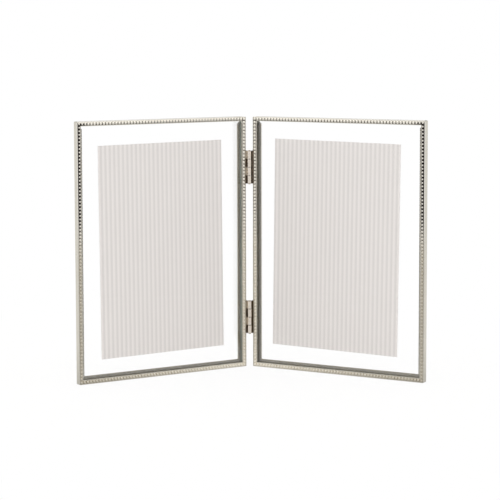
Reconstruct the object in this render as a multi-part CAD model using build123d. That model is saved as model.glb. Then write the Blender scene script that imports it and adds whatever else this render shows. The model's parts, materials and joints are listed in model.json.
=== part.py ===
"""Hinged double photo frame: two slim plated metal frames with a beaded front edge, each holding a picture
card between two clear panes, joined by two small butt hinges. Lengths are in millimetres, angles in degrees.

Each piece is made for the right frame, in the frame's own directions: X runs outwards from the hinge-side
edge, Y runs back from the front plane and Z runs up from the table. The left frame is its mirror image.
"""
from build123d import *
import math
import os

# Each frame's outline and how far the pair stands open
frame_width = 139.2
frame_height = 186.2
opening_angle = 118.0

# Channel section shared by the stiles and rails
rim_width = 3.3
back_lip_width = 5.5
web_thickness = 1.0
front_lip_thickness = 1.3
back_lip_thickness = 0.8
front_edge_round = 0.35
back_edge_round = 0.6
corner_round = 1.0

# Beading in its seat between the two ridges of the front lip
outer_ridge_width = 0.5
inner_ridge_width = 0.45
inner_ridge_drop = 0.4
bead_seat_depth = 0.8
bead_ribbon_thickness = 0.25
bead_side_gap = 0.05
bead_pitch = 2.46

# Panes and the card between them
glass_thickness = 1.2
glass_edge_bevel = 0.2
glass_side_play = 2.2
glass_rest_gap = 0.15
glass_top_drop = 0.8
pack_play = 0.1
card_play = 0.1
card_width = 101.6
card_height = 152.4
card_thickness = 0.3
# The cards are loose between the panes, so each lies a little askew: tilt, then shift outwards and upwards
card_lie = {"left": (0.59, 0.6, -0.1), "right": (0.81, -2.0, 0.3)}

# Butt hinges
hinge_height = 24.4
hinge_end_inset = 25.1
knuckle_count = 4
knuckle_gap = 0.25
leaf_thickness = 0.7
leaf_back_margin = 0.1
axis_ahead = 2.4
pin_radius = 0.6
pin_clearance = 0.04
pin_head_radius = 0.95
pin_head_height = 0.45
pin_head_round = 0.3
knuckle_clearance = 0.15

# Rivets that hold the leaves to the inner stiles
rivet_spacing = 14.4
rivet_shank_radius = 0.65
rivet_head_radius = 1.1
rivet_tail_radius = 1.0
rivet_tail_height = 0.6
rivet_tail_round = 0.3
rivet_clearance = 0.03

# Sizes that follow from the ones above
half_fold = (180.0 - opening_angle) / 2
card_space = card_thickness + card_play
channel_gap = 2 * glass_thickness + card_space + pack_play
back_lip_front = front_lip_thickness + channel_gap
frame_depth = back_lip_front + back_lip_thickness
bead_seat_end = rim_width - inner_ridge_width
bead_line = (outer_ridge_width + bead_seat_end) / 2
bead_base = bead_seat_depth - bead_ribbon_thickness
bead_radius = bead_line - outer_ridge_width - bead_side_gap
front_pane_face = front_lip_thickness + pack_play / 2
back_pane_face = front_pane_face + glass_thickness + card_space
pane_width = frame_width - 2 * web_thickness - glass_side_play
# The panes are loose in their channels: the left pair has slid away from the hinges, the right pair to them
pane_edges = {
    "left": frame_width - web_thickness - glass_rest_gap - pane_width,
    "right": web_thickness + rivet_tail_height + glass_rest_gap,
}
barrel_radius = pin_radius + pin_clearance + leaf_thickness
leaf_front = barrel_radius + knuckle_clearance - axis_ahead
leaf_back = frame_depth - back_edge_round - leaf_back_margin
knuckle_pitch = hinge_height / knuckle_count
rivet_depth = front_lip_thickness + channel_gap / 2
hinge_bottoms = {
    "upper": frame_height - hinge_end_inset - hinge_height,
    "lower": hinge_end_inset,
}


def hinge_axis_setback():
    """Y of the hinge axis that centres the open pair front to back on the origin. The rearmost point is on
    the rounded back edge of an inner stile and the foremost on the rounded front edge of an outer stile."""
    sine = math.sin(math.radians(half_fold))
    cosine = math.cos(math.radians(half_fold))
    rear_x = barrel_radius + back_edge_round
    rear_y = axis_ahead + frame_depth - back_edge_round
    rearmost = cosine * rear_y - sine * rear_x + back_edge_round
    front_x = barrel_radius + frame_width - front_edge_round
    front_y = axis_ahead + front_edge_round
    foremost = cosine * front_y - sine * front_x - front_edge_round
    return -(rearmost + foremost) / 2


hinge_axis_y = hinge_axis_setback()


def block(x0, x1, y0, y1, z0, z1):
    """Box between two opposite corners."""
    centre = Pos((x0 + x1) / 2, (y0 + y1) / 2, (z0 + z1) / 2)
    return centre * Box(x1 - x0, y1 - y0, z1 - z0)


def outline_face(points, rounded=None):
    """Flat face through the points, with each corner named in rounded given its own radius."""
    face = make_face(Polyline(*points, close=True))
    for (x, y), radius in (rounded or {}).items():
        corner = face.vertices().sort_by_distance((x, y, 0))[0]
        face = fillet(corner, radius)
    return face


def front_lip_points():
    """Front of the lip, from the outer edge inwards: ridge, bead seat, lower ridge beside the glass."""
    return [
        (0.0, 0.0),
        (outer_ridge_width, 0.0),
        (outer_ridge_width, bead_seat_depth),
        (bead_seat_end, bead_seat_depth),
        (bead_seat_end, inner_ridge_drop),
        (rim_width, inner_ridge_drop),
        (rim_width, front_lip_thickness),
    ]


def channel_face():
    """Whole channel: front lip, web along the outer edge and the wider back lip."""
    inside = [
        (web_thickness, front_lip_thickness),
        (web_thickness, back_lip_front),
        (back_lip_width, back_lip_front),
        (back_lip_width, frame_depth),
        (0.0, frame_depth),
    ]
    rounded = {(0.0, 0.0): front_edge_round, (0.0, frame_depth): back_edge_round}
    return outline_face(front_lip_points() + inside, rounded)


def channel_slice(front, back):
    """The channel's section between two depths, no wider than the front lip, for a bar of the slotted top."""
    window = Pos(rim_width / 2, (front + back) / 2) * Rectangle(rim_width, back - front)
    return channel_face() & window


def ribbon_face():
    """Flat base of the beading, which fills the bead seat."""
    front = [(outer_ridge_width, bead_base), (bead_seat_end, bead_base)]
    back = [(bead_seat_end, bead_seat_depth), (outer_ridge_width, bead_seat_depth)]
    return outline_face(front + back)


def mitred(face, length):
    """Bar of the given section along Z, its ends cut at 45 degrees and the frame's corners rounded off."""
    bar = extrude(face, length, dir=(0, 0, 1))
    wedge = Plane.XZ * make_face(
        Polyline((0, 0), (back_lip_width, 0), (back_lip_width, back_lip_width), close=True)
    )
    sliver = Plane.XZ * (
        Pos(corner_round / 2, corner_round / 2) * Rectangle(corner_round, corner_round)
        - Pos(corner_round, corner_round) * Circle(corner_round)
    )
    for outline in (wedge, sliver):
        near_end = extrude(outline, frame_depth, dir=(0, 1, 0))
        bar -= near_end
        bar -= Pos(0, 0, length) * mirror(near_end, Plane.XY)
    return bar


def beading(length, with_corners):
    """Row of half-round beads on a mitred ribbon. The stiles' rows carry the beads at the frame's corners."""
    gaps = round((length - 2 * bead_line) / bead_pitch)
    step = (length - 2 * bead_line) / gaps
    chosen = range(gaps + 1) if with_corners else range(1, gaps)
    dome = Rot(90, 0, 0) * Sphere(bead_radius, arc_size1=0, align=None)
    domes = [Pos(bead_line, bead_base, bead_line + i * step) * dome for i in chosen]
    return mitred(ribbon_face(), length) + domes


# How a bar made along Z, with its outer edge at X = 0, turns into each side of the frame
side_lengths = {"inner": frame_height, "outer": frame_height, "bottom": frame_width, "top": frame_width}
side_places = {
    "inner": Location(),
    "outer": Pos(frame_width, 0, frame_height) * Rot(0, 180, 0),
    "bottom": Pos(frame_width, 0, 0) * Rot(0, -90, 0),
    "top": Pos(0, 0, frame_height) * Rot(0, 90, 0),
}


def side(name, face):
    return side_places[name] * mitred(face, side_lengths[name])


def pane(edge, face):
    """Pane that stands on the bottom rail's web, from its hinge-side edge and its front face."""
    top = frame_height - glass_top_drop
    plate = block(edge, edge + pane_width, face, face + glass_thickness, web_thickness, top)
    return chamfer(plate.edges(), glass_edge_bevel)


def photo_card(tilt, shift_out, shift_up):
    middle_y = front_pane_face + glass_thickness + card_space / 2
    centre = Pos(frame_width / 2 + shift_out, middle_y, frame_height / 2 + shift_up)
    return centre * Rot(0, tilt, 0) * Box(card_width, card_thickness, card_height)


def upright_cylinder(radius, bottom, top):
    """Cylinder on the hinge axis, in the frame's own directions."""
    place = Pos(-barrel_radius, -axis_ahead, bottom)
    return place * Cylinder(radius, top - bottom, align=(Align.CENTER, Align.CENTER, Align.MIN))


def rivet_places(bottom):
    middle = bottom + hinge_height / 2
    return [Pos(0, rivet_depth, middle + end * rivet_spacing / 2) for end in (-1, 1)]


def rivet_stem(extra):
    """Countersunk head in the leaf and shank in the web, along X, with the radii increased by extra."""
    start = (Align.CENTER, Align.CENTER, Align.MIN)
    along_x = Rot(0, 90, 0)
    head = Cone(rivet_head_radius + extra, rivet_shank_radius + extra, leaf_thickness, align=start)
    shank = Cylinder(rivet_shank_radius + extra, web_thickness, align=start)
    return Pos(-leaf_thickness, 0, 0) * along_x * head + along_x * shank


def rivet():
    tail = Cylinder(rivet_tail_radius, rivet_tail_height, align=(Align.CENTER, Align.CENTER, Align.MIN))
    tail = fillet(tail.edges().filter_by(GeomType.CIRCLE).sort_by(Axis.Z)[-1], rivet_tail_round)
    return rivet_stem(0.0) + Pos(web_thickness, 0, 0) * Rot(0, 90, 0) * tail


def inner_stile():
    """Hinge-side channel, drilled for the rivets of both hinges."""
    stile = side("inner", channel_face())
    for bottom in hinge_bottoms.values():
        for place in rivet_places(bottom):
            stile -= place * rivet_stem(rivet_clearance)
    return stile


def hinge_leaf(bottom, own_knuckles):
    """Plate on the stile's edge face, rolled into knuckles round the pin. Knuckles count from the top."""
    top = bottom + hinge_height
    leaf = block(-leaf_thickness, 0, leaf_front, leaf_back, bottom, top)
    for number in own_knuckles:
        high = top - number * knuckle_pitch - knuckle_gap / 2
        low = high - knuckle_pitch + knuckle_gap
        leaf += block(-leaf_thickness, 0, -axis_ahead, leaf_front, low, high)
        leaf += upright_cylinder(barrel_radius, low, high)
    leaf -= upright_cylinder(pin_radius + pin_clearance, bottom, top)
    for place in rivet_places(bottom):
        leaf -= place * rivet_stem(rivet_clearance)
    return leaf


def hinge_pin(bottom):
    """Pin through all the knuckles, with a rounded head at each end."""
    top = bottom + hinge_height
    upper_head = upright_cylinder(pin_head_radius, top, top + pin_head_height)
    lower_head = upright_cylinder(pin_head_radius, bottom - pin_head_height, bottom)
    upper_head = fillet(upper_head.edges().filter_by(GeomType.CIRCLE).sort_by(Axis.Z)[-1], pin_head_round)
    lower_head = fillet(lower_head.edges().filter_by(GeomType.CIRCLE).sort_by(Axis.Z)[0], pin_head_round)
    return upright_cylinder(pin_radius, bottom, top) + upper_head + lower_head


def place(shape, hand):
    """Swing a piece of the right frame about the hinge axis to the opening, or mirror it to the left."""
    on_axis = Pos(barrel_radius, axis_ahead, 0) * shape
    swung = Pos(0, hinge_axis_y, 0) * Rot(0, 0, -half_fold) * on_axis
    return mirror(swung, Plane.YZ) if hand == "left" else swung


def frame_pieces(hand):
    """Every piece of one frame, without its hinges."""
    pieces = {
        "inner_stile": inner_stile(),
        "outer_stile": side("outer", channel_face()),
        "bottom_rail": side("bottom", channel_face()),
        "top_front_bar": side("top", channel_slice(0.0, front_lip_thickness)),
        "top_back_bar": side("top", channel_slice(back_lip_front, frame_depth)),
        "front_glass": pane(pane_edges[hand], front_pane_face),
        "photo_card": photo_card(*card_lie[hand]),
        "back_glass": pane(pane_edges[hand], back_pane_face),
    }
    for name, length in side_lengths.items():
        is_stile = name in ("inner", "outer")
        pieces[f"{name}_beading"] = side_places[name] * beading(length, is_stile)
    return {f"{hand}_{name}": place(shape, hand) for name, shape in pieces.items()}


def hinge_pieces():
    """Leaves and pins of both hinges, with the left leaf's knuckles first from the top, and the rivets."""
    pieces = {}
    rivets = {"left": [], "right": []}
    for level, bottom in hinge_bottoms.items():
        for first, hand in enumerate(rivets):
            leaf = hinge_leaf(bottom, range(first, knuckle_count, 2))
            pieces[f"{level}_hinge_{hand}_leaf"] = place(leaf, hand)
            rivets[hand] += [place(spot * rivet(), hand) for spot in rivet_places(bottom)]
        pieces[f"{level}_hinge_pin"] = place(hinge_pin(bottom), "right")
    for hand, group in rivets.items():
        pieces[f"{hand}_hinge_rivets"] = Compound(children=group)
    return pieces


os.makedirs("parts", exist_ok=True)
all_pieces = frame_pieces("left") | frame_pieces("right") | hinge_pieces()
for name, shape in all_pieces.items():
    export_step(shape, f"parts/{name}.step")
print("hinge axis y", round(hinge_axis_y, 4), "pieces", len(all_pieces))
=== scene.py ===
"""Looks of the hinged double photo frame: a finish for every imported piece, the studio and the camera.
Lengths are in metres, those whose name ends in _MM in millimetres, and angles in degrees.
"""
import json
import math

import bpy
import numpy as np
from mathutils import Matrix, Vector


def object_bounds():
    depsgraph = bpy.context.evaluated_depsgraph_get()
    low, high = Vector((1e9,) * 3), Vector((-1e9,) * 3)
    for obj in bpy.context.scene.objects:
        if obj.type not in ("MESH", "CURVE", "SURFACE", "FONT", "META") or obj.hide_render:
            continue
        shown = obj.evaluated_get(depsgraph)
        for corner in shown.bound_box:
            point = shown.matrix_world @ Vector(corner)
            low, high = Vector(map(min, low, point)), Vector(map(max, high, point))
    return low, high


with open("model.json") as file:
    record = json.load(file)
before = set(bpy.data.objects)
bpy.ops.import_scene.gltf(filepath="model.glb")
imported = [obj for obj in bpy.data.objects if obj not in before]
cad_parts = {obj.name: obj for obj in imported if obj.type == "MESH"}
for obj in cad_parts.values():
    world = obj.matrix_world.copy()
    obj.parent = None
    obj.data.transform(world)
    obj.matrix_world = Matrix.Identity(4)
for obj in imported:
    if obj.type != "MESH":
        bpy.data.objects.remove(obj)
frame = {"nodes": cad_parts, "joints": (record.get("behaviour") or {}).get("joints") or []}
cad_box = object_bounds()
nodes = frame["nodes"]
MM = 0.001

# Camera, fitted to the photograph's edges and corners
CAMERA_PLACE = (-0.02852, -1.34659, 0.25139)
CAMERA_TILT_DOWN = 5.559
CAMERA_TURN_RIGHT = 1.214
CAMERA_ROLL = 0.129
CAMERA_LENS_MM = 134.983
CAMERA_SENSOR_MM = 36.0
CAMERA_SHIFT_UP = -0.08

# Finishes, with the painted highlight and the painted shades, as sRGB colours
NICKEL = "#D6D2C7"
NICKEL_SHADE = "#CBC6BA"
# Painted highlight on the front ridges in the upper part
NICKEL_PAINTED_HIGHLIGHT = "#F0ECE3"
SEAM = "#8F887A"
# Painted shade on the walls of the channel that holds the panes
CHANNEL_PAINTED_SHADE = "#A0967F"
BEAD_POLISHED = "#F5F0E5"
BEAD_SATIN = "#F2ECDF"
# Painted shade: the satin domes darken towards this colour at the outer edge
BEAD_OUTER_PAINTED_SHADE = "#D0C9BA"
# Painted shade, near black, in the beading's hollows
BEAD_HOLLOW_PAINTED_SHADE = "#1A0C05"
HINGE_NICKEL = "#F3EADF"
HINGE_SHADE = "#E2D6C8"
# Painted shade beside the knuckles and in the joints between them
HINGE_PAINTED_SHADE = "#4A3724"
RIVET_BRIGHT = "#EFE6DA"
CARD_LIGHT = "#E6E1DE"
CARD_DARK = "#D8D3D0"
CARD_BACK = "#E9E6E1"
GLASS_CLEAR = "#FFFFFF"
GLASS_EDGE = "#8F978D"
FLOOR_WHITE = "#F6F5F3"

# Roughness: a pair is for the low and the high end of the pattern that varies it
PLATE_ROUGHNESS = (0.22, 0.36)
CHANNEL_ROUGHNESS = 0.55
POLISHED_ROUGHNESS = (0.06, 0.16)
SATIN_ROUGHNESS = 0.5
PAINTED_SHADE_ROUGHNESS = 0.7
HINGE_ROUGHNESS = (0.3, 0.2)
RIVET_ROUGHNESS = 0.2
GLASS_EDGE_ROUGHNESS = 0.6
CARD_ROUGHNESS = 0.55

# Bump: its strength and its height in millimetres
DRAWN_BUMP = (0.05, 0.05)
PEENED_BUMP = (0.15, 0.1)
PAPER_BUMP = (0.1, 0.05)

# Patterns of the strip, in real sizes, and the noise detail of its marks and clouds
SEAM_WIDTH_MM = 0.3
BRUSH_SPACING_MM = 0.5
BRUSH_DETAIL = 2.0
CLOUD_SIZE_MM = 9.0
CLOUD_DETAIL = 3.0
# Heights over which the polish, the painted highlight and the painted shade of the upper part fade in
POLISH_AND_PAINTED_LIGHT_HEIGHTS_MM = (85.0, 120.0)
# Painted highlight: how far behind the front plane the brighter ridges reach
PAINTED_HIGHLIGHT_DEPTH_MM = 0.3
CHANNEL_EDGE_MM = 0.6
CHANNEL_PLAY_MM = 0.1

# Painted shade in the beading's hollows: the depths behind the front plane where it starts and where
# it is full, how much higher it lies on the outer rows and over which widths it rises, and its share on
# the other rows
PAINTED_SHADE_DEPTHS_MM = (-0.09, 0.21)
PAINTED_SHADE_RISE_MM = 0.47
PAINTED_SHADE_REACH_MM = (126.0, 136.0)
PAINTED_SHADE_OTHER_ROWS_SHARE = 0.55
PAINTED_SHADE_TOP_ROW_SHARE = 0.82
TOP_SHARE_BLEND_MM = 1.0
TOP_PAINTED_SHADE_FADE_MM = (0.1, 0.9)

# Hinges: the knuckles, the painted shade beside and between them, and the rivets' hammer facets
KNUCKLES = 4
KNUCKLE_RADIUS_MM = 1.34
HINGE_CLOUD_SIZE_MM = 3.0
HINGE_PAINTED_SHADE_EDGE_MM = 0.2
HINGE_PAINTED_SHADE_FADE_MM = (1.0, 2.0)
JOINT_DARK_MM = (0.15, 0.55)
JOINT_PAINTED_SHADE_SHARE = 0.5
# Share of the painted shade beside the knuckles left off each leaf's own bends: the left is painted as lit,
# the right as shaded
BEND_LIT_SHARE = {"left": 0.85, "right": 0.0}
FACET_SIZE_MM = 0.5

# Glass and card: a stripe blends into the next where their sine wave is below the softness
GLASS_IOR = 1.5
GROUND_EDGE_MM = 0.25
STRIPE_PITCH_MM = 3.53
STRIPE_SOFTNESS = 0.6
PAPER_GRAIN_MM = 0.6


def linear(hex_colour):
    """sRGB hex to the linear colour that the shaders take."""
    channels = [int(hex_colour[i:i + 2], 16) / 255 for i in (1, 3, 5)]
    return tuple(c / 12.92 if c <= 0.04045 else ((c + 0.055) / 1.055) ** 2.4 for c in channels) + (1.0,)


def add(tree, kind, sockets=None, **settings):
    """Add a node, with its settings, and fill each socket with a value or a link from another node's
    output. A Mix node has its factor at socket 0, its numbers at 2 and 3, and its colours at 6 and 7."""
    node = tree.nodes.new(kind)
    for name, value in settings.items():
        setattr(node, name, value)
    for name, value in (sockets or {}).items():
        if isinstance(value, bpy.types.NodeSocket):
            tree.links.new(value, node.inputs[name])
        else:
            node.inputs[name].default_value = value
    return node


# Where the frames stand: each frame's own directions are X out from the hinge-side edge, Y back from the
# front plane and Z up, and the left frame is the mirror image of the right one
fold = next(joint for joint in frame["joints"] if joint["name"] == "fold")
hinge_axis = np.array(fold["pos_m"])
half_fold = math.radians(fold["range_deg"][1]) / 2
swing_back = np.array([
    [math.cos(half_fold), -math.sin(half_fold), 0.0],
    [math.sin(half_fold), math.cos(half_fold), 0.0],
    [0.0, 0.0, 1.0],
])


def mesh_points(node):
    """A node's mesh points, one row each."""
    mesh = nodes[node].data
    points = np.empty(3 * len(mesh.vertices), np.float32)
    mesh.vertices.foreach_get("co", points)
    return points.reshape(-1, 3).astype(float)


def about_hinge(points):
    """Points of the right frame swung back about the hinge axis into the frame's own directions."""
    return (points - hinge_axis) @ swing_back.T


own_corner = about_hinge(mesh_points("right_inner_stile")).min(axis=0) * (1, 1, 0)
frame_width = about_hinge(mesh_points("right_outer_stile")).max(axis=0)[0] - own_corner[0]
frame_height = cad_box[1].z


def own_points(node):
    """A node's points in its frame's own directions, from the frame's lower hinge-side front corner."""
    mirror = (-1, 1, 1) if node.startswith("left") else (1, 1, 1)
    return about_hinge(mesh_points(node) * mirror) - own_corner


def own_millimetres(tree, hand):
    """Shading point in the frame's own directions, in millimetres."""
    mirror = -1 if hand == "left" else 1
    shift = -(swing_back @ hinge_axis + own_corner) / MM
    return add(tree, "ShaderNodeMapping", {
        "Vector": add(tree, "ShaderNodeTexCoord").outputs["Object"],
        "Scale": (mirror / MM, 1 / MM, 1 / MM),
        "Rotation": (0, 0, half_fold),
        "Location": shift,
    }).outputs["Vector"]


def new_material(name):
    """Empty material, and the node tree to fill."""
    material = bpy.data.materials.new(name)
    material.use_nodes = True
    material.node_tree.nodes.clear()
    return material, material.node_tree


def finish_material(tree, surface):
    """Make the given shader the material's surface."""
    add(tree, "ShaderNodeOutputMaterial", {"Surface": surface})


def edge_distances(tree, own):
    """Millimetres to the nearer stile's outer edge and to the nearer rail's outer edge."""
    split = add(tree, "ShaderNodeSeparateXYZ", {"Vector": own})
    distances = []
    for axis, size in (("X", frame_width), ("Z", frame_height)):
        here = split.outputs[axis]
        far = add(tree, "ShaderNodeMath", {0: size / MM, 1: here}, operation="SUBTRACT")
        near = add(tree, "ShaderNodeMath", {0: here, 1: far.outputs[0]}, operation="MINIMUM")
        distances.append(near.outputs[0])
    return distances


def channel_inside(tree, own, hand):
    """1 on the walls of the channel that holds the panes, 0 on the strip's outside."""
    front = own_points(f"{hand}_front_glass")[:, 1].min() / MM - CHANNEL_PLAY_MM
    back = own_points(f"{hand}_back_glass")[:, 1].max() / MM + CHANNEL_PLAY_MM
    to_stile, to_rail = edge_distances(tree, own)
    depth = add(tree, "ShaderNodeSeparateXYZ", {"Vector": own}).outputs["Y"]
    off_edge = add(tree, "ShaderNodeMath", {0: to_stile, 1: to_rail}, operation="MINIMUM")
    off_edge = add(tree, "ShaderNodeMath", {
        0: off_edge.outputs[0], 1: CHANNEL_EDGE_MM,
    }, operation="GREATER_THAN")
    off_middle = add(tree, "ShaderNodeMath", {0: depth, 1: (front + back) / 2}, operation="SUBTRACT")
    off_middle = add(tree, "ShaderNodeMath", {0: off_middle.outputs[0]}, operation="ABSOLUTE")
    beside = add(tree, "ShaderNodeMath", {
        0: off_middle.outputs[0], 1: (back - front) / 2,
    }, operation="LESS_THAN")
    both = add(tree, "ShaderNodeMath", {0: off_edge.outputs[0], 1: beside.outputs[0]}, operation="MULTIPLY")
    return both.outputs[0]


def mitre_seam(tree, own):
    """1 on the line where two mitred sides meet at a corner, 0 away from it."""
    to_stile, to_rail = edge_distances(tree, own)
    apart = add(tree, "ShaderNodeMath", {0: to_stile, 1: to_rail}, operation="SUBTRACT")
    size = add(tree, "ShaderNodeMath", {0: apart.outputs[0]}, operation="ABSOLUTE")
    return add(tree, "ShaderNodeMapRange", {
        "Value": size.outputs[0], "From Min": 0.0, "From Max": SEAM_WIDTH_MM, "To Min": 1.0, "To Max": 0.0,
    }, interpolation_type="SMOOTHSTEP").outputs["Result"]


def clouds(tree, own, size_mm, detail=CLOUD_DETAIL):
    """Soft random patches about the given size."""
    spread = add(tree, "ShaderNodeMapping", {"Vector": own, "Scale": (1 / size_mm,) * 3})
    return add(tree, "ShaderNodeTexNoise", {"Vector": spread.outputs[0], "Scale": 1.0, "Detail": detail})


def polished_and_painted_light_part(tree, own):
    """1 in the upper part, which keeps its polish and has the painted highlight and shade, 0 lower down."""
    height = add(tree, "ShaderNodeSeparateXYZ", {"Vector": own}).outputs["Z"]
    return add(tree, "ShaderNodeMapRange", {
        "Value": height, "From Min": POLISH_AND_PAINTED_LIGHT_HEIGHTS_MM[0], "From Max": POLISH_AND_PAINTED_LIGHT_HEIGHTS_MM[1],
    }, interpolation_type="SMOOTHSTEP").outputs[0]


def nickel_plate(hand):
    """Nickel-plated steel strip, drawn and barrel polished: a warm pale grey metal with a satin sheen, faint
    drawing marks, soft clouding of the plate, a painted highlight on the front ridges in the upper part, a
    darker soldered line at each mitre and a dull painted shade on the rougher inside of the channel."""
    material, tree = new_material(f"satin_nickel_plate_{hand}")
    own = own_millimetres(tree, hand)
    cloud = clouds(tree, own, CLOUD_SIZE_MM)
    plate = add(tree, "ShaderNodeMix", {
        0: cloud.outputs[0], 6: linear(NICKEL_SHADE), 7: linear(NICKEL),
    }, data_type="RGBA")
    # Painted highlight: the front ridges in the upper part are drawn brighter
    depth = add(tree, "ShaderNodeSeparateXYZ", {"Vector": own}).outputs["Y"]
    in_front = add(tree, "ShaderNodeMath", {0: depth, 1: PAINTED_HIGHLIGHT_DEPTH_MM}, operation="LESS_THAN")
    painted_highlight = add(tree, "ShaderNodeMath", {
        0: in_front.outputs[0], 1: polished_and_painted_light_part(tree, own),
    }, operation="MULTIPLY")
    ridged = add(tree, "ShaderNodeMix", {
        0: painted_highlight.outputs[0], 6: plate.outputs[2], 7: linear(NICKEL_PAINTED_HIGHLIGHT),
    }, data_type="RGBA")
    seamed = add(tree, "ShaderNodeMix", {
        0: mitre_seam(tree, own), 6: ridged.outputs[2], 7: linear(SEAM),
    }, data_type="RGBA")
    # Painted shade: the channel's walls take a dull dark colour
    inside = channel_inside(tree, own, hand)
    colour = add(tree, "ShaderNodeMix", {
        0: inside, 6: seamed.outputs[2], 7: linear(CHANNEL_PAINTED_SHADE),
    }, data_type="RGBA")
    marks = clouds(tree, own, BRUSH_SPACING_MM, BRUSH_DETAIL)
    sheen = add(tree, "ShaderNodeMapRange", {
        "Value": marks.outputs[0], "To Min": PLATE_ROUGHNESS[0], "To Max": PLATE_ROUGHNESS[1],
    })
    roughness = add(tree, "ShaderNodeMix", {
        0: inside, 2: sheen.outputs[0], 3: CHANNEL_ROUGHNESS,
    }, data_type="FLOAT")
    bump = add(tree, "ShaderNodeBump", {
        "Height": marks.outputs[0], "Strength": DRAWN_BUMP[0], "Distance": DRAWN_BUMP[1] * MM,
    })
    shader = add(tree, "ShaderNodeBsdfPrincipled", {
        "Base Color": colour.outputs[2], "Metallic": 1.0, "Roughness": roughness.outputs[0],
        "Normal": bump.outputs[0],
    })
    finish_material(tree, shader.outputs[0])
    return material


def nickel_beading(hand):
    """Rolled nickel bead strip: polished domes in the upper part, and satin ones lower down, with a painted
    shade that darkens them towards the outer rows. Matt brown-black painted shade lies in the hollows round
    the polished domes. It reaches high on the outer rows, and elsewhere it is kept to the deep hollows. On
    the top row it fades out above the middle of the beads."""
    material, tree = new_material(f"nickel_beading_painted_shade_{hand}")
    own = own_millimetres(tree, hand)
    split = add(tree, "ShaderNodeSeparateXYZ", {"Vector": own})
    polish_and_painted_light = polished_and_painted_light_part(tree, own)
    outward = add(tree, "ShaderNodeMapRange", {
        "Value": split.outputs["X"], "From Min": PAINTED_SHADE_REACH_MM[0], "From Max": PAINTED_SHADE_REACH_MM[1],
    }, interpolation_type="SMOOTHSTEP").outputs[0]
    rise = add(tree, "ShaderNodeMath", {0: polish_and_painted_light, 1: outward}, operation="MULTIPLY")
    depth = add(tree, "ShaderNodeMath", {
        0: rise.outputs[0], 1: PAINTED_SHADE_RISE_MM, 2: split.outputs["Y"],
    }, operation="MULTIPLY_ADD")
    hollow = add(tree, "ShaderNodeMapRange", {
        "Value": depth.outputs[0], "From Min": PAINTED_SHADE_DEPTHS_MM[0], "From Max": PAINTED_SHADE_DEPTHS_MM[1],
    }, interpolation_type="SMOOTHSTEP")
    top_row = own_points(f"{hand}_top_beading")[:, 2] / MM
    other_rows_share = add(tree, "ShaderNodeMapRange", {
        "Value": split.outputs["Z"],
        "From Min": top_row.min() - TOP_SHARE_BLEND_MM, "From Max": top_row.min(),
        "To Min": PAINTED_SHADE_OTHER_ROWS_SHARE, "To Max": PAINTED_SHADE_TOP_ROW_SHARE,
    })
    cover = add(tree, "ShaderNodeMapRange", {"Value": outward, "To Min": other_rows_share.outputs[0]})
    top_middle = (top_row.min() + top_row.max()) / 2
    under = add(tree, "ShaderNodeMapRange", {
        "Value": split.outputs["Z"], "From Min": top_middle + TOP_PAINTED_SHADE_FADE_MM[0],
        "From Max": top_middle + TOP_PAINTED_SHADE_FADE_MM[1], "To Min": 1.0, "To Max": 0.0,
    }, interpolation_type="SMOOTHSTEP")
    # Painted shade in the hollows, on the upper part only
    painted_shade = polish_and_painted_light
    for share in (hollow, cover, under):
        product = add(tree, "ShaderNodeMath", {0: painted_shade, 1: share.outputs[0]}, operation="MULTIPLY")
        painted_shade = product.outputs[0]
    # Painted shade: the satin domes grow darker from the hinge side to the outer edge
    outer_shade_ramp = add(tree, "ShaderNodeMapRange", {"Value": split.outputs["X"], "From Max": frame_width / MM})
    satin = add(tree, "ShaderNodeMix", {
        0: outer_shade_ramp.outputs[0], 6: linear(BEAD_SATIN), 7: linear(BEAD_OUTER_PAINTED_SHADE),
    }, data_type="RGBA")
    dome = add(tree, "ShaderNodeMix", {
        0: polish_and_painted_light, 6: satin.outputs[2], 7: linear(BEAD_POLISHED),
    }, data_type="RGBA")
    colour = add(tree, "ShaderNodeMix", {
        0: painted_shade, 6: dome.outputs[2], 7: linear(BEAD_HOLLOW_PAINTED_SHADE),
    }, data_type="RGBA")
    unshaded_metal = add(tree, "ShaderNodeMath", {0: 1.0, 1: painted_shade}, operation="SUBTRACT")
    marks = clouds(tree, own, BRUSH_SPACING_MM, BRUSH_DETAIL)
    bright = add(tree, "ShaderNodeMapRange", {
        "Value": marks.outputs[0], "To Min": POLISHED_ROUGHNESS[0], "To Max": POLISHED_ROUGHNESS[1],
    })
    sheen = add(tree, "ShaderNodeMix", {
        0: polish_and_painted_light, 2: SATIN_ROUGHNESS, 3: bright.outputs[0],
    }, data_type="FLOAT")
    roughness = add(tree, "ShaderNodeMix", {
        0: painted_shade, 2: sheen.outputs[0], 3: PAINTED_SHADE_ROUGHNESS,
    }, data_type="FLOAT")
    shader = add(tree, "ShaderNodeBsdfPrincipled", {
        "Base Color": colour.outputs[2], "Metallic": unshaded_metal.outputs[0], "Roughness": roughness.outputs[0],
    })
    finish_material(tree, shader.outputs[0])
    return material


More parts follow.
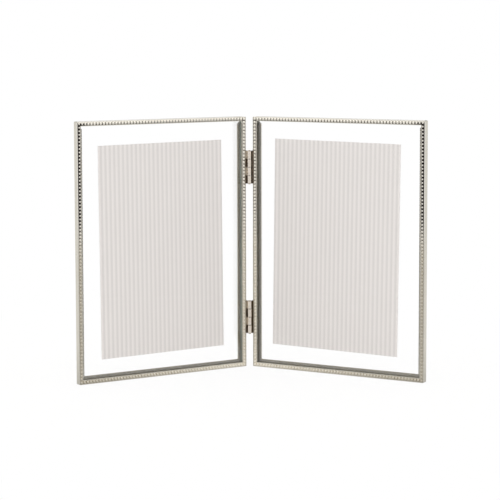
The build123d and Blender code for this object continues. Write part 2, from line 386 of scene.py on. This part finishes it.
def knuckle_marks(tree, own, level, hand):
    """Painted shade in the joints between the knuckles, drawn a little wide so that it shows, and the share
    of the painted shade beside the knuckles that a leaf keeps. Knuckles count from the top, and the first is
    the left leaf's."""
    leaf = own_points(f"{level}_hinge_{hand}_leaf")[:, 2] / MM
    pitch = (leaf.max() - leaf.min()) / KNUCKLES
    count = add(tree, "ShaderNodeMapRange", {
        "Value": add(tree, "ShaderNodeSeparateXYZ", {"Vector": own}).outputs["Z"],
        "From Min": leaf.max(), "From Max": leaf.min(), "To Max": KNUCKLES,
    }, clamp=False).outputs[0]
    off_joint = add(tree, "ShaderNodeMath", {0: count, 1: 0.5}, operation="PINGPONG")
    joint = add(tree, "ShaderNodeMapRange", {
        "Value": off_joint.outputs[0],
        "From Min": JOINT_DARK_MM[0] / pitch, "From Max": JOINT_DARK_MM[1] / pitch,
        "To Min": JOINT_PAINTED_SHADE_SHARE, "To Max": 0.0,
    }, interpolation_type="SMOOTHSTEP")
    in_pair = add(tree, "ShaderNodeMath", {0: count, 1: 2.0}, operation="MODULO")
    is_left = add(tree, "ShaderNodeMath", {0: in_pair.outputs[0], 1: 1.0}, operation="LESS_THAN")
    # The left leaf's knuckles keep less of the painted shade, as the lit side
    kept = add(tree, "ShaderNodeMath", {
        0: is_left.outputs[0], 1: -BEND_LIT_SHARE[hand], 2: 1.0,
    }, operation="MULTIPLY_ADD")
    return joint.outputs[0], kept.outputs[0]


def hinge_nickel(level, hand):
    """Pressed steel hinge leaf with thin nickel plate: a warmer metal than the frame strip, with brown
    painted shade in the corners beside the knuckles and in the joints between them. Most of that painted
    shade is left off the left leaf's own bends, which are painted as the lit side."""
    material, tree = new_material(f"thin_plated_hinge_steel_{level}_{hand}")
    # The right frame's directions do for both leaves: height and distance from the axis are the same in each
    own = own_millimetres(tree, "right")
    cloud = clouds(tree, own, HINGE_CLOUD_SIZE_MM)
    plate = add(tree, "ShaderNodeMix", {
        0: cloud.outputs[0], 6: linear(HINGE_SHADE), 7: linear(HINGE_NICKEL),
    }, data_type="RGBA")
    from_axis = add(tree, "ShaderNodeMapping", {
        "Vector": own, "Location": own_corner / MM, "Scale": (1, 1, 0),
    })
    off_axis = add(tree, "ShaderNodeVectorMath", {0: from_axis.outputs[0]}, operation="LENGTH")
    beside = add(tree, "ShaderNodeMapRange", {
        "Value": off_axis.outputs["Value"],
        "From Min": KNUCKLE_RADIUS_MM, "From Max": KNUCKLE_RADIUS_MM + HINGE_PAINTED_SHADE_EDGE_MM,
    }, interpolation_type="SMOOTHSTEP")
    near = add(tree, "ShaderNodeMapRange", {
        "Value": off_axis.outputs["Value"], "From Min": KNUCKLE_RADIUS_MM + HINGE_PAINTED_SHADE_FADE_MM[0],
        "From Max": KNUCKLE_RADIUS_MM + HINGE_PAINTED_SHADE_FADE_MM[1], "To Min": 1.0, "To Max": 0.0,
    }, interpolation_type="SMOOTHSTEP")
    joint, kept = knuckle_marks(tree, own, level, hand)
    # Painted shade beside the knuckles and in the joints between them
    painted_shade = add(tree, "ShaderNodeMath", {0: beside.outputs[0], 1: near.outputs[0]}, operation="MULTIPLY")
    painted_shade = add(tree, "ShaderNodeMath", {0: painted_shade.outputs[0], 1: kept}, operation="MULTIPLY")
    painted_shade = add(tree, "ShaderNodeMath", {0: painted_shade.outputs[0], 1: joint}, operation="MAXIMUM")
    colour = add(tree, "ShaderNodeMix", {
        0: painted_shade.outputs[0], 6: plate.outputs[2], 7: linear(HINGE_PAINTED_SHADE),
    }, data_type="RGBA")
    sheen = add(tree, "ShaderNodeMapRange", {
        "Value": cloud.outputs[0], "To Min": HINGE_ROUGHNESS[0], "To Max": HINGE_ROUGHNESS[1],
    })
    shader = add(tree, "ShaderNodeBsdfPrincipled", {
        "Base Color": colour.outputs[2], "Metallic": 1.0, "Roughness": sheen.outputs[0],
    })
    finish_material(tree, shader.outputs[0])
    return material


def rivet_steel():
    """Bright peened rivet steel: nearly white metal, with small hammer facets in its sheen."""
    material, tree = new_material("bright_peened_rivet_steel")
    own = own_millimetres(tree, "right")
    facets = clouds(tree, own, FACET_SIZE_MM)
    bump = add(tree, "ShaderNodeBump", {
        "Height": facets.outputs[0], "Strength": PEENED_BUMP[0], "Distance": PEENED_BUMP[1] * MM,
    })
    shader = add(tree, "ShaderNodeBsdfPrincipled", {
        "Base Color": linear(RIVET_BRIGHT), "Metallic": 1.0, "Roughness": RIVET_ROUGHNESS,
        "Normal": bump.outputs[0],
    })
    finish_material(tree, shader.outputs[0])
    return material


def float_glass(hand):
    """Clear float glass with ground edges: colourless across, frosted grey-green round the edge. Light on
    its way to the card and back goes straight through, as thin panes don't darken what they cover."""
    material, tree = new_material(f"clear_float_glass_{hand}")
    corners = own_points(f"{hand}_front_glass") / MM
    middle = (corners.min(axis=0) + corners.max(axis=0)) / 2
    reach = (corners.max(axis=0) - corners.min(axis=0)) / 2 - GROUND_EDGE_MM
    split = add(tree, "ShaderNodeSeparateXYZ", {"Vector": own_millimetres(tree, hand)})
    outside = []
    for axis, index in (("X", 0), ("Z", 2)):
        off = add(tree, "ShaderNodeMath", {0: split.outputs[axis], 1: middle[index]}, operation="SUBTRACT")
        size = add(tree, "ShaderNodeMath", {0: off.outputs[0]}, operation="ABSOLUTE")
        past = add(tree, "ShaderNodeMath", {0: size.outputs[0], 1: reach[index]}, operation="GREATER_THAN")
        outside.append(past.outputs[0])
    ground = add(tree, "ShaderNodeMath", {0: outside[0], 1: outside[1]}, operation="MAXIMUM").outputs[0]
    pane = add(tree, "ShaderNodeBsdfPrincipled", {
        "Base Color": linear(GLASS_CLEAR), "Roughness": 0.0, "IOR": GLASS_IOR, "Transmission Weight": 1.0,
    }).outputs[0]
    clear = add(tree, "ShaderNodeBsdfTransparent", {"Color": linear(GLASS_CLEAR)}).outputs[0]
    path = add(tree, "ShaderNodeLightPath")
    for ray in ("Is Diffuse Ray", "Is Shadow Ray"):
        pane = add(tree, "ShaderNodeMixShader", {0: path.outputs[ray], 1: pane, 2: clear}).outputs[0]
    edge = add(tree, "ShaderNodeBsdfPrincipled", {
        "Base Color": linear(GLASS_EDGE), "Roughness": GLASS_EDGE_ROUGHNESS,
    })
    surface = add(tree, "ShaderNodeMixShader", {0: ground, 1: pane, 2: edge.outputs[0]})
    finish_material(tree, surface.outputs[0])
    return material


def striped_card(hand):
    """Coated card printed in two pale warm greys: soft upright stripes on the front, plain on the back."""
    material, tree = new_material(f"striped_coated_card_{hand}")
    points = own_points(f"{hand}_photo_card")
    centre = (points.min(axis=0) + points.max(axis=0)) / 2
    upright = np.linalg.svd(points - points.mean(axis=0))[2][0]
    tilt = math.atan(upright[0] / upright[2])
    own = own_millimetres(tree, hand)
    on_card = add(tree, "ShaderNodeMapping", {
        "Vector": own, "Location": centre / MM, "Rotation": (0, tilt, 0),
    }, vector_type="TEXTURE")
    split = add(tree, "ShaderNodeSeparateXYZ", {"Vector": on_card.outputs[0]})
    phase = add(tree, "ShaderNodeMath", {
        0: split.outputs["X"], 1: 2 * math.pi / STRIPE_PITCH_MM,
    }, operation="MULTIPLY")
    wave = add(tree, "ShaderNodeMath", {0: phase.outputs[0]}, operation="SINE")
    stripe = add(tree, "ShaderNodeMapRange", {
        "Value": wave.outputs[0], "From Min": -STRIPE_SOFTNESS, "From Max": STRIPE_SOFTNESS,
    }, interpolation_type="SMOOTHSTEP")
    printed = add(tree, "ShaderNodeMix", {
        0: stripe.outputs[0], 6: linear(CARD_DARK), 7: linear(CARD_LIGHT),
    }, data_type="RGBA")
    is_back = add(tree, "ShaderNodeMath", {0: split.outputs["Y"], 1: 0.0}, operation="GREATER_THAN")
    colour = add(tree, "ShaderNodeMix", {
        0: is_back.outputs[0], 6: printed.outputs[2], 7: linear(CARD_BACK),
    }, data_type="RGBA")
    grain = clouds(tree, own, PAPER_GRAIN_MM)
    bump = add(tree, "ShaderNodeBump", {
        "Height": grain.outputs[0], "Strength": PAPER_BUMP[0], "Distance": PAPER_BUMP[1] * MM,
    })
    shader = add(tree, "ShaderNodeBsdfPrincipled", {
        "Base Color": colour.outputs[2], "Roughness": CARD_ROUGHNESS, "Normal": bump.outputs[0],
    })
    finish_material(tree, shader.outputs[0])
    return material


def dress(material, *names):
    """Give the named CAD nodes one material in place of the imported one."""
    for name in names:
        nodes[name].data.materials.clear()
        nodes[name].data.materials.append(material)


def dress_frames():
    """Finish every node of the two frames and of the hinges between them."""
    rivets = rivet_steel()
    for hand in ("left", "right"):
        sides = ("inner_stile", "outer_stile", "bottom_rail", "top_front_bar", "top_back_bar")
        dress(nickel_plate(hand), *(f"{hand}_{side}" for side in sides))
        rows = ("inner", "outer", "bottom", "top")
        dress(nickel_beading(hand), *(f"{hand}_{row}_beading" for row in rows))
        dress(float_glass(hand), f"{hand}_front_glass", f"{hand}_back_glass")
        dress(striped_card(hand), f"{hand}_photo_card")
        dress(rivets, f"{hand}_hinge_rivets")
    for level in ("upper", "lower"):
        dress(hinge_nickel(level, "left"), f"{level}_hinge_left_leaf", f"{level}_hinge_pin")
        dress(hinge_nickel(level, "right"), f"{level}_hinge_right_leaf")


# Studio: a white table in a white light tent, open at the front to a room that is a little less bright
FLOOR_RADIUS = 0.9
FLOOR_CORNERS = 96
SHADOW_REACH = 0.35
SHADOW_SHARE = 0.12
TABLE_FRONT_LEVEL = 0.72
TABLE_SHADE_FROM = -0.03
TABLE_SHADE_TO = 0.05
TENT_LEVEL = 0.97
ROOM_MIDDLE = -16.0
ROOM_HALF_ANGLE = 50.0
ROOM_BLUR = 0.12
ROOM_LEVEL = 0.8
SIDE_WALL_X = -0.45
SIDE_WALL_FRONT = -0.36
SIDE_WALL_BACK = 0.6
SIDE_WALL_HEIGHT = 1.0
SOFT_BOX_PLACE = (0.0, -0.2, 1.3)
SOFT_BOX_SIZE = 1.0
SOFT_BOX_LEVEL = 1.0


def stage_sheet(name, corners, material):
    """Flat sheet of the studio through the given corners."""
    mesh = bpy.data.meshes.new(name)
    mesh.from_pydata(corners, [], [list(range(len(corners)))])
    mesh.materials.append(material)
    sheet = bpy.data.objects.new(name, mesh)
    bpy.context.scene.collection.objects.link(sheet)
    return sheet


def satin_ray(tree):
    """1 for rays mirrored by metal, 0 for those of the sharp glass and all others."""
    path = add(tree, "ShaderNodeLightPath")
    return add(tree, "ShaderNodeMath", {
        0: path.outputs["Is Glossy Ray"], 1: path.outputs["Is Singular Ray"],
    }, operation="SUBTRACT", use_clamp=True).outputs[0]


def floor():
    """White table disc: it shows white, with a part of the soft shadow kept near the object. Metal mirrors
    it a little darker towards the front, where less light falls on it."""
    material, tree = new_material("white_table")
    position = add(tree, "ShaderNodeTexCoord").outputs["Object"]
    distance = add(tree, "ShaderNodeVectorMath", {0: position}, operation="LENGTH").outputs["Value"]
    keep = add(tree, "ShaderNodeMapRange", {
        "Value": distance, "From Min": SHADOW_REACH / 2, "From Max": SHADOW_REACH,
        "To Min": SHADOW_SHARE, "To Max": 0.0,
    }, interpolation_type="SMOOTHSTEP")
    backward = add(tree, "ShaderNodeSeparateXYZ", {"Vector": position}).outputs["Y"]
    mirrored = add(tree, "ShaderNodeMapRange", {
        "Value": backward, "From Min": TABLE_SHADE_FROM, "From Max": TABLE_SHADE_TO,
        "To Min": TABLE_FRONT_LEVEL, "To Max": 1.0,
    }, interpolation_type="SMOOTHSTEP")
    strength = add(tree, "ShaderNodeMix", {
        0: satin_ray(tree), 2: 1.0, 3: mirrored.outputs[0],
    }, data_type="FLOAT")
    plain = add(tree, "ShaderNodeBsdfDiffuse", {"Color": linear(FLOOR_WHITE)})
    white = add(tree, "ShaderNodeEmission", {"Strength": strength.outputs[0]})
    shaded = add(tree, "ShaderNodeMixShader", {
        0: keep.outputs[0], 1: white.outputs[0], 2: plain.outputs[0],
    })
    path = add(tree, "ShaderNodeLightPath")
    surface = plain
    for ray in ("Is Camera Ray", "Is Glossy Ray", "Is Transmission Ray"):
        surface = add(tree, "ShaderNodeMixShader", {
            0: path.outputs[ray], 1: surface.outputs[0], 2: shaded.outputs[0],
        })
    finish_material(tree, surface.outputs[0])
    angle = np.linspace(0, 2 * math.pi, FLOOR_CORNERS, endpoint=False)
    rim = np.stack([
        FLOOR_RADIUS * np.cos(angle), FLOOR_RADIUS * np.sin(angle), np.zeros(FLOOR_CORNERS),
    ], axis=1)
    stage_sheet("floor", rim.tolist(), material)


def tent_side():
    """White left wall of the tent, which only shows in mirrored light."""
    material, tree = new_material("white_tent_cloth")
    cloth = add(tree, "ShaderNodeEmission", {"Strength": 1.0})
    finish_material(tree, cloth.outputs[0])
    wall = stage_sheet("tent_side", [
        (SIDE_WALL_X, SIDE_WALL_FRONT, 0.0),
        (SIDE_WALL_X, SIDE_WALL_BACK, 0.0),
        (SIDE_WALL_X, SIDE_WALL_BACK, SIDE_WALL_HEIGHT),
        (SIDE_WALL_X, SIDE_WALL_FRONT, SIDE_WALL_HEIGHT),
    ], material)
    wall.visible_camera = False
    wall.visible_diffuse = False
    wall.visible_transmission = False
    wall.visible_shadow = False


def studio_world():
    """White tent all round, which metal mirrors a little darker towards the room in front. The room's edge
    is blurred by a step in the cosine of the angle from its middle."""
    world = bpy.data.worlds.new("studio")
    bpy.context.scene.world = world
    world.use_nodes = True
    tree = world.node_tree
    tree.nodes.clear()
    middle = math.radians(ROOM_MIDDLE)
    edge = math.cos(math.radians(ROOM_HALF_ANGLE))
    direction = add(tree, "ShaderNodeTexCoord").outputs["Generated"]
    towards = add(tree, "ShaderNodeVectorMath", {
        0: direction, 1: (math.sin(middle), -math.cos(middle), 0.0),
    }, operation="DOT_PRODUCT")
    room = add(tree, "ShaderNodeMapRange", {
        "Value": towards.outputs["Value"], "From Min": edge, "From Max": edge + ROOM_BLUR,
        "To Min": 1.0, "To Max": ROOM_LEVEL,
    }, interpolation_type="SMOOTHSTEP")
    path = add(tree, "ShaderNodeLightPath")
    level = add(tree, "ShaderNodeMix", {
        0: path.outputs["Is Diffuse Ray"], 2: 1.0, 3: TENT_LEVEL,
    }, data_type="FLOAT")
    level = add(tree, "ShaderNodeMix", {
        0: satin_ray(tree), 2: level.outputs[0], 3: room.outputs[0],
    }, data_type="FLOAT")
    light = add(tree, "ShaderNodeBackground", {"Color": (1.0, 1.0, 1.0, 1.0), "Strength": level.outputs[0]})
    add(tree, "ShaderNodeOutputWorld", {"Surface": light.outputs[0]})


def soft_box():
    """Square soft box overhead, whose face has the given level, aimed at the middle of the object."""
    lamp = bpy.data.lights.new("overhead_soft_box", "AREA")
    lamp.size = SOFT_BOX_SIZE
    lamp.energy = SOFT_BOX_LEVEL * math.pi * SOFT_BOX_SIZE ** 2
    holder = bpy.data.objects.new("overhead_soft_box", lamp)
    aim = Vector((0.0, 0.0, frame_height / 2)) - Vector(SOFT_BOX_PLACE)
    holder.location = SOFT_BOX_PLACE
    holder.rotation_euler = aim.to_track_quat("-Z", "Y").to_euler()
    bpy.context.scene.collection.objects.link(holder)


def camera():
    """The photograph's camera."""
    lens = bpy.data.cameras.new("camera")
    lens.lens = CAMERA_LENS_MM
    lens.sensor_width = CAMERA_SENSOR_MM
    lens.shift_y = CAMERA_SHIFT_UP
    holder = bpy.data.objects.new("camera", lens)
    holder.location = CAMERA_PLACE
    turn = (90 - CAMERA_TILT_DOWN, CAMERA_ROLL, -CAMERA_TURN_RIGHT)
    holder.rotation_euler = [math.radians(angle) for angle in turn]
    bpy.context.scene.collection.objects.link(holder)
    bpy.context.scene.camera = holder


dress_frames()
floor()
tent_side()
studio_world()
soft_box()
camera()
bpy.context.scene.view_settings.view_transform = "Standard"
